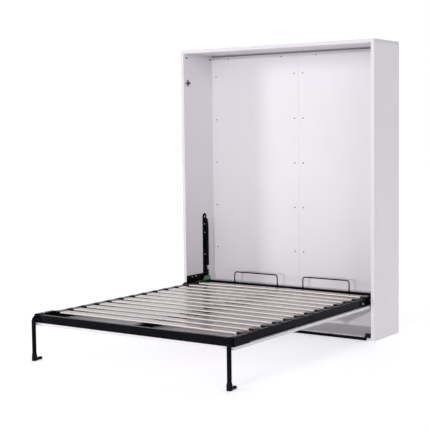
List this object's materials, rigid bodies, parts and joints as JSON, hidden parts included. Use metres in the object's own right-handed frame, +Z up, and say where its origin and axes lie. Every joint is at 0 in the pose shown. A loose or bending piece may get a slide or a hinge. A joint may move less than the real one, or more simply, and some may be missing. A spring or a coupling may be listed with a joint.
{
  "type": "murphy wall bed",
  "caption": "Open cabinet with a slatted steel bed frame that folds upright on side pivots, gas struts, folding legs and a panel under the frame that closes the cabinet.",
  "frame": {"origin": "on the floor, in the middle of the cabinet's footprint", "axes": "+Z up, +Y towards the wall, -Y towards the foot of the opened bed, +X to the right seen from the foot"},
  "size_m": [1.64, 2.121, 2.088],
  "materials": {
    "white_laminate": "matt white melamine-faced board with edge band",
    "black_steel": "black powder coat, satin",
    "zinc_steel": "bright zinc plate",
    "green_steel": "green paint, satin",
    "slat_wood": "laminated bentwood, grey-washed faces and cream edges",
    "black_plastic": "moulded nylon, matt"
  },
  "bodies": {
    "cabinet": {"side_panel_left": "white_laminate", "side_panel_right": "white_laminate", "top_panel": "white_laminate", "base_panel": "white_laminate", "back_panel_left": "white_laminate", "back_panel_right": "white_laminate", "back_cleats": "white_laminate", "wall_rail": "white_laminate", "back_panel_screws": "zinc_steel", "cam_locks": "zinc_steel", "floor_crossbar": "black_steel", "floor_stops": "black_plastic", "catch_plates": "zinc_steel", "catch_screws": "zinc_steel", "mount_plate_left": "black_steel", "mount_plate_right": "black_steel", "mount_plate_bolts": "zinc_steel", "mount_pins": "zinc_steel"},
    "bed": {"side_rail_left": "black_steel", "side_rail_right": "black_steel", "foot_rail": "black_steel", "head_rail": "black_steel", "centre_beam": "black_steel", "hinge_arms": "black_steel", "lift_arms": "green_steel", "arm_bolts": "zinc_steel", "catch_strikers": "black_plastic", "slat_holders": "black_plastic", "pillow_stop_left": "black_steel", "pillow_stop_right": "black_steel", "door_panel_left": "white_laminate", "door_panel_right": "white_laminate", "door_tabs": "black_steel", "door_screws": "zinc_steel", "leg_brackets": "black_steel", "leg_bushes": "black_plastic", "slat_01": "slat_wood", "slat_02": "slat_wood", "slat_03": "slat_wood", "slat_04": "slat_wood", "slat_05": "slat_wood", "slat_06": "slat_wood", "slat_07": "slat_wood", "slat_08": "slat_wood", "slat_09": "slat_wood", "slat_10": "slat_wood", "slat_11": "slat_wood", "slat_12": "slat_wood", "slat_13": "slat_wood"},
    "leg_left": {"leg_tube_left": "black_steel", "leg_foot_left": "black_plastic"},
    "strut_cylinder_left_body": {"strut_cylinder_left": "black_steel"},
    "strut_rod_left_body": {"strut_rod_left": "zinc_steel"},
    "catch_plunger_left_body": {"catch_plunger_left": "black_plastic"},
    "leg_right": {"leg_tube_right": "black_steel", "leg_foot_right": "black_plastic"},
    "strut_cylinder_right_body": {"strut_cylinder_right": "black_steel"},
    "strut_rod_right_body": {"strut_rod_right": "zinc_steel"},
    "catch_plunger_right_body": {"catch_plunger_right": "black_plastic"}
  },
  "joints": [
    {"name": "bed_fold", "type": "hinge", "parent": "cabinet", "child": "bed", "pos_m": [0, -0.1445, 0.2815], "axis": [-1, 0, 0], "range_deg": [0, 90]},
    {"name": "leg_left_fold", "type": "hinge", "parent": "bed", "child": "leg_left", "pos_m": [-0.765, -1.797, 0.284], "axis": [0, -1, 0], "range_deg": [0, 74]},
    {"name": "strut_left_tilt", "type": "hinge", "parent": "cabinet", "child": "strut_cylinder_left_body", "pos_m": [-0.7793, 0.071, 0.766], "axis": [-1, 0, 0], "range_deg": [0, 14.6]},
    {"name": "strut_left_slide", "type": "slide", "parent": "strut_cylinder_left_body", "child": "strut_rod_left_body", "axis": [0, 0, -1], "range_m": [0, 0.274]},
    {"name": "catch_left_press", "type": "slide", "parent": "cabinet", "child": "catch_plunger_left_body", "axis": [-1, 0, 0], "range_m": [0, 0.004], "stiffness_N_per_m": 900, "springref_m": -0.002},
    {"name": "leg_right_fold", "type": "hinge", "parent": "bed", "child": "leg_right", "pos_m": [0.765, -1.797, 0.284], "axis": [0, 1, 0], "range_deg": [0, 74]},
    {"name": "strut_right_tilt", "type": "hinge", "parent": "cabinet", "child": "strut_cylinder_right_body", "pos_m": [0.7793, 0.071, 0.766], "axis": [-1, 0, 0], "range_deg": [0, 14.6]},
    {"name": "strut_right_slide", "type": "slide", "parent": "strut_cylinder_right_body", "child": "strut_rod_right_body", "axis": [0, 0, -1], "range_m": [0, 0.274]},
    {"name": "catch_right_press", "type": "slide", "parent": "cabinet", "child": "catch_plunger_right_body", "axis": [1, 0, 0], "range_m": [0, 0.004], "stiffness_N_per_m": 900, "springref_m": -0.002}
  ],
  "couplings": [
    {"joint": "strut_left_tilt", "follows": "bed_fold", "ratio": 0.16108},
    {"joint": "strut_left_slide", "follows": "bed_fold", "m_per_rad": 0.17381},
    {"joint": "strut_right_tilt", "follows": "bed_fold", "ratio": 0.16108},
    {"joint": "strut_right_slide", "follows": "bed_fold", "m_per_rad": 0.17381}
  ]
}
